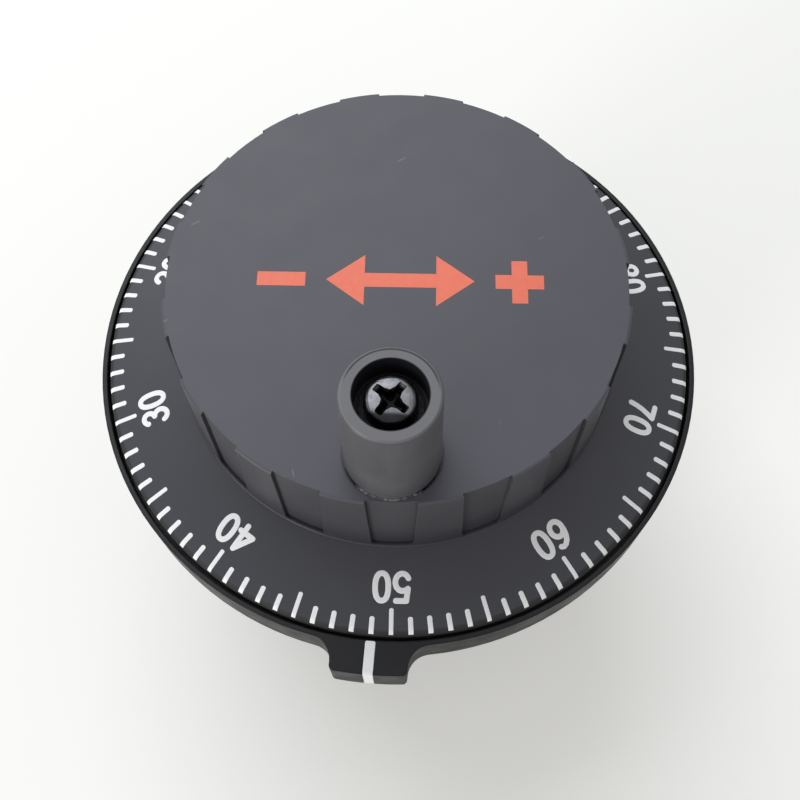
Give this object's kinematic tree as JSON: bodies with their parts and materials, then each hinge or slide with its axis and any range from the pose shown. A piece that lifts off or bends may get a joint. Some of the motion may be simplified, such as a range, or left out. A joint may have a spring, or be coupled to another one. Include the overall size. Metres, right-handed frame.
{
  "type": "pulse generator handwheel",
  "caption": "Round panel-mounted pulse generator handwheel: numbered dial in a bezel with an index tab, ribbed knob, spinning crank handle, encoder and screw terminals behind.",
  "frame": {"origin": "on the shaft axis, in the plane of the panel seat (back face of the flange), at the centre of the three panel holes", "axes": "+Z along the shaft axis, out of the panel to the operator; -Y towards the index tab; +X to the operator's right"},
  "size_m": [0.08, 0.0835, 0.0839],
  "materials": {
    "black_paint": "satin black stove enamel on die-cast metal",
    "rubber": "matt black rubber",
    "bearing_steel": "ground steel",
    "iron": "plain iron",
    "body_plastic": "fine matt black moulding",
    "plated_steel": "bright zinc plate",
    "board": "green solder mask",
    "chip": "matt black epoxy",
    "terminal_plastic": "matt black moulding",
    "contact_brass": "plain brass",
    "wheel_plastic": "satin charcoal moulding, white figures",
    "black_steel": "blackened steel",
    "magnet": "dark ferrite",
    "disc_steel": "bright etched steel",
    "bright_steel": "polished steel",
    "dark_nickel": "dark nickel plate",
    "crank_plastic": "satin charcoal moulding",
    "cage_nylon": "natural nylon"
  },
  "bodies": {
    "mount_body": {"bezel": "black_paint", "panel_gasket": "rubber", "shaft_seal": "rubber", "outer_races": "bearing_steel", "preload_spring": "bearing_steel", "detent_stator": "iron", "rear_shell": "body_plastic", "shell_screws": "plated_steel", "circuit_board": "board", "board_screws": "plated_steel", "sensor_chip": "chip", "board_parts": "chip", "terminal_block": "terminal_plastic", "block_screws": "plated_steel", "terminal_contacts": "contact_brass", "terminal_washers": "plated_steel", "terminal_screws": "plated_steel"},
    "wheel": {"handwheel": "wheel_plastic", "hub_insert": "contact_brass", "grub_screws": "black_steel", "shaft": "bearing_steel", "inner_races": "bearing_steel", "bearing_spacer": "iron", "retaining_ring": "black_steel", "rotor_hub": "contact_brass", "rotor_plates": "iron", "rotor_magnet": "magnet", "disc_spacer": "iron", "code_disc": "disc_steel", "disc_nut": "plated_steel", "end_washer": "plated_steel", "end_screw": "plated_steel", "crank_insert": "contact_brass", "foot_washer": "bright_steel", "crank_bushing": "bright_steel", "crank_washer": "black_steel", "crank_screw": "dark_nickel"},
    "crank": {"crank_sleeve": "crank_plastic"},
    "front_ball_cage": {"front_balls": "bearing_steel", "front_cage": "cage_nylon"},
    "rear_ball_cage": {"rear_balls": "bearing_steel", "rear_cage": "cage_nylon"}
  },
  "joints": [
    {"name": "wheel_turn", "type": "hinge", "parent": "mount_body", "child": "wheel", "pos_m": [0, 0, 0], "axis": [0, 0, 1], "continuous": true},
    {"name": "crank_spin", "type": "hinge", "parent": "wheel", "child": "crank", "pos_m": [0.00138, -0.02201, 0.0254], "axis": [0, 0, 1], "continuous": true},
    {"name": "front_cage_turn", "type": "hinge", "parent": "mount_body", "child": "front_ball_cage", "pos_m": [0, 0, 0.002], "axis": [0, 0, 1], "continuous": true},
    {"name": "rear_cage_turn", "type": "hinge", "parent": "mount_body", "child": "rear_ball_cage", "pos_m": [0, 0, -0.009], "axis": [0, 0, 1], "continuous": true}
  ],
  "couplings": [
    {"joint": "front_cage_turn", "follows": "wheel_turn", "ratio": 0.36773},
    {"joint": "rear_cage_turn", "follows": "wheel_turn", "ratio": 0.36773}
  ]
}
